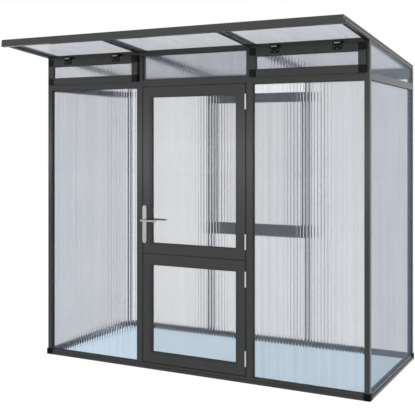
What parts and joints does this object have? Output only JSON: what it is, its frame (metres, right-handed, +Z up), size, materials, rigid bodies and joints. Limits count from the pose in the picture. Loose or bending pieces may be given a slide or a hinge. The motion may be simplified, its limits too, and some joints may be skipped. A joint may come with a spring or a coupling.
{
  "type": "lean to greenhouse",
  "caption": "Lean-to greenhouse with a sloping roof that runs out as a canopy, a two-leaf stable door with a lever handle and top-hung vents beside it.",
  "frame": {"origin": "on the ground, at the centre of the whole outline with the canopy counted in", "axes": "+X to the right along the front wall, +Y from the front towards the house wall behind, +Z up"},
  "size_m": [2.514, 1.66, 2.3289],
  "materials": {
    "frame_coating": "satin anthracite powder coat on aluminium",
    "twin_wall": "clear twin-wall polycarbonate with fine ribs",
    "clear_glazing": "clear glazing, smooth",
    "steel": "satin stainless steel",
    "black_plastic": "black nylon, satin"
  },
  "bodies": {
    "house": {"sill_front": "frame_coating", "sill_back": "frame_coating", "sill_left": "frame_coating", "sill_right": "frame_coating", "corner_post_front_left": "frame_coating", "corner_post_front_right": "frame_coating", "corner_post_back_left": "frame_coating", "corner_post_back_right": "frame_coating", "door_post_left": "frame_coating", "door_post_right": "frame_coating", "back_post_left": "frame_coating", "back_post_right": "frame_coating", "bay_rail_left": "frame_coating", "bay_rail_right": "frame_coating", "door_head": "frame_coating", "side_rail_left": "frame_coating", "side_rail_right": "frame_coating", "front_eaves_beam": "frame_coating", "back_eaves_beam": "frame_coating", "front_pane_left": "twin_wall", "front_pane_right": "twin_wall", "transom_pane": "twin_wall", "back_pane_left": "twin_wall", "back_pane_right": "twin_wall", "back_pane_lower": "twin_wall", "side_pane_left": "twin_wall", "side_pane_right": "twin_wall", "gable_pane_left": "twin_wall", "gable_pane_right": "twin_wall", "canopy_fascia": "frame_coating", "rafter_outer_left": "frame_coating", "rafter_middle_left": "frame_coating", "rafter_middle_right": "frame_coating", "rafter_outer_right": "frame_coating", "roof_pane_left": "twin_wall", "roof_pane_middle": "twin_wall", "roof_pane_right": "twin_wall", "back_window_frame": "frame_coating", "back_window_pane": "clear_glazing", "door_hinge_1": "steel", "door_hinge_2": "steel", "door_hinge_3": "steel", "door_hinge_4": "steel", "vent_hinge_left_1": "black_plastic", "vent_hinge_left_2": "black_plastic", "vent_hinge_right_1": "black_plastic", "vent_hinge_right_2": "black_plastic"},
    "upper_leaf": {"upper_leaf_frame": "frame_coating", "upper_leaf_pane": "clear_glazing", "handle_plate_outer": "steel", "handle_plate_inner": "steel"},
    "lower_leaf": {"lower_leaf_frame": "frame_coating", "lower_leaf_pane": "clear_glazing"},
    "levers": {"lever_outer": "steel", "lever_inner": "steel"},
    "latch": {"latch_bolt": "steel"},
    "vent_left": {"vent_frame_left": "frame_coating", "vent_pane_left": "twin_wall"},
    "vent_right": {"vent_frame_right": "frame_coating", "vent_pane_right": "twin_wall"}
  },
  "joints": [
    {"name": "upper_leaf_swing", "type": "hinge", "parent": "house", "child": "upper_leaf", "pos_m": [0.405, -0.315, 1.41], "axis": [0, 0, 1], "range_deg": [0, 110]},
    {"name": "lower_leaf_swing", "type": "hinge", "parent": "house", "child": "lower_leaf", "pos_m": [0.405, -0.315, 0.429], "axis": [0, 0, 1], "range_deg": [0, 110]},
    {"name": "lever_turn", "type": "hinge", "parent": "upper_leaf", "child": "levers", "pos_m": [-0.386, -0.3, 1.054], "axis": [0, 1, 0], "range_deg": [0, 40], "stiffness_Nm_per_rad": 1, "springref_deg": -28.65},
    {"name": "latch_slide", "type": "slide", "parent": "upper_leaf", "child": "latch", "axis": [1, 0, 0], "range_m": [0, 0.01]},
    {"name": "vent_left_swing", "type": "hinge", "parent": "house", "child": "vent_left", "pos_m": [-0.8345, -0.3343, 2.236], "axis": [-1, 0, 0], "range_deg": [0, 45]},
    {"name": "vent_right_swing", "type": "hinge", "parent": "house", "child": "vent_right", "pos_m": [0.8345, -0.3343, 2.236], "axis": [-1, 0, 0], "range_deg": [0, 45]}
  ],
  "couplings": [
    {"joint": "latch_slide", "follows": "lever_turn", "m_per_rad": 0.0143}
  ]
}
